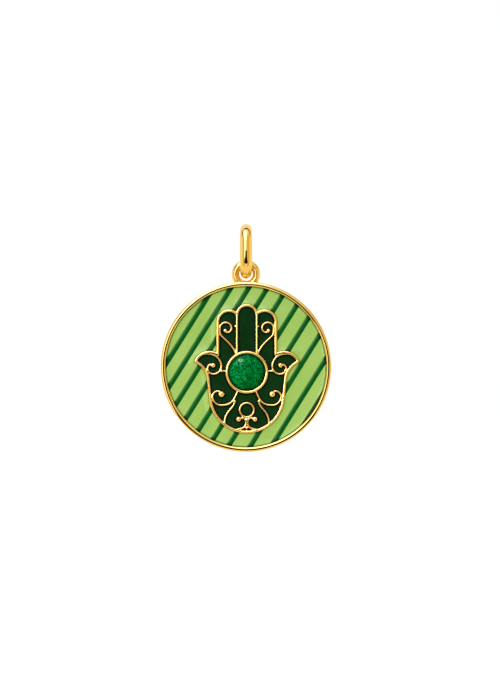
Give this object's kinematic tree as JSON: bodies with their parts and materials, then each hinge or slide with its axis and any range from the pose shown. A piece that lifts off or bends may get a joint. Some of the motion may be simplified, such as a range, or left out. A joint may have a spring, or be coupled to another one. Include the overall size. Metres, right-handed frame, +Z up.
{
  "type": "hamsa pendant",
  "caption": "Round metal pendant with striped enamel, a raised hamsa hand of wire scrolls and a domed stone, hanging by an eyelet from a long oval bail.",
  "frame": {"origin": "inside top of the bail, at the middle of its wire's inner side, where the chain rests", "axes": "+Z up along the hanging pendant, front faces -Y, +X to the right as seen from the front; a chain runs along X"},
  "size_m": [0.022, 0.005, 0.0295],
  "materials": {
    "gilded_metal": "polished yellow gold plating",
    "light_green_enamel": "glossy opaque enamel",
    "stripe_green_enamel": "glossy deep enamel",
    "dark_green_enamel": "glossy blackish green enamel",
    "green_stone": "polished cabochon with a speckled body"
  },
  "bodies": {
    "bail": {"bail": "gilded_metal"},
    "medallion": {"medallion": "gilded_metal", "light_enamel": "light_green_enamel", "hand_frame": "gilded_metal", "stone": "green_stone", "stripe_1": "stripe_green_enamel", "stripe_2": "stripe_green_enamel", "stripe_3": "stripe_green_enamel", "stripe_4": "stripe_green_enamel", "stripe_5": "stripe_green_enamel", "stripe_6": "stripe_green_enamel", "stripe_7": "stripe_green_enamel", "stripe_8": "stripe_green_enamel", "stripe_9": "stripe_green_enamel", "stripe_10": "stripe_green_enamel", "middle_finger_enamel": "dark_green_enamel", "ring_enamel": "dark_green_enamel", "heel_enamel": "dark_green_enamel", "finger_enamel_left": "dark_green_enamel", "finger_enamel_right": "dark_green_enamel", "wrist_enamel_left": "dark_green_enamel", "wrist_enamel_right": "dark_green_enamel", "thumb_enamel_left": "dark_green_enamel", "thumb_enamel_right": "dark_green_enamel", "palm_enamel_left": "dark_green_enamel", "palm_enamel_right": "dark_green_enamel", "corner_enamel_left": "dark_green_enamel", "corner_enamel_right": "dark_green_enamel"}
  },
  "joints": [
    {"name": "medallion_swing", "type": "hinge", "parent": "bail", "child": "medallion", "pos_m": [0, 0, -0.00331], "axis": [1, 0, 0], "range_deg": [-60, 60]}
  ]
}
